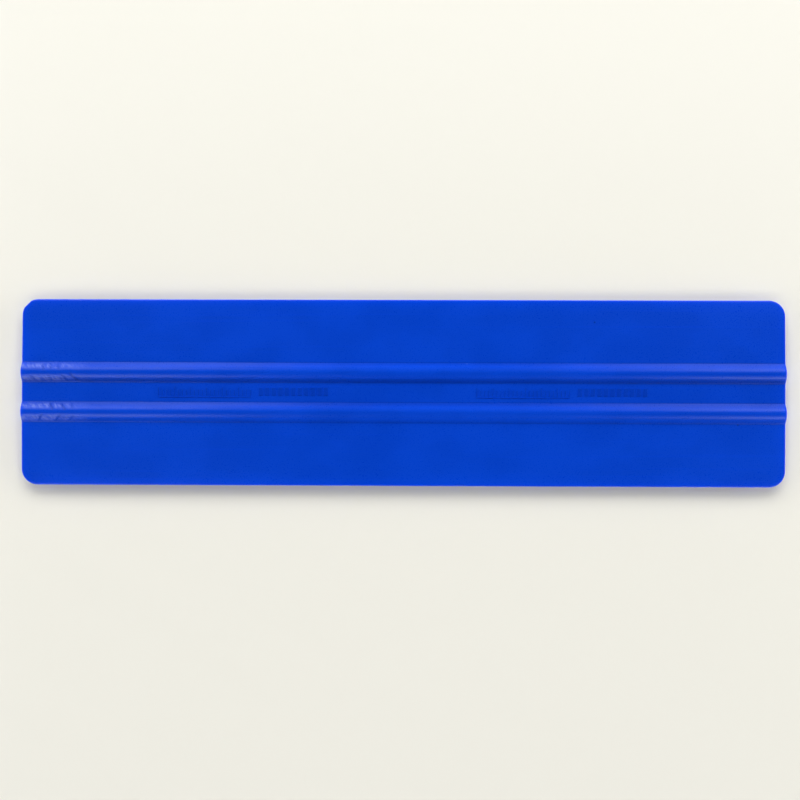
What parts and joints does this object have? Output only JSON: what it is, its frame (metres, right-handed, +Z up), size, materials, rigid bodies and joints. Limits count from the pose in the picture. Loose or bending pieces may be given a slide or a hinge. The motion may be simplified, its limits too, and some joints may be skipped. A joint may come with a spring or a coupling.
{
  "type": "squeegee blade",
  "caption": "Long flat plastic squeegee with rounded corners, thin tapered working edges on both long sides and grip ribs along the middle of both faces.",
  "frame": {"origin": "centre of the blade in plan, on the flat surface that the crests of its two lower ribs rest on", "axes": "+X runs along the working edges, with the trimmed corner at the -X end; +Y points to the working edge on the trimmed corner's side; +Z points up, out of the face that carries the raised marks"},
  "size_m": [0.3048, 0.0744, 0.0056],
  "materials": {
    "blade_plastic": "satin royal blue moulded plastic, coloured through, with a fine moulded grain and light handling scuffs on the ribs"
  },
  "bodies": {
    "root": {"blade": "blade_plastic"}
  },
  "joints": []
}
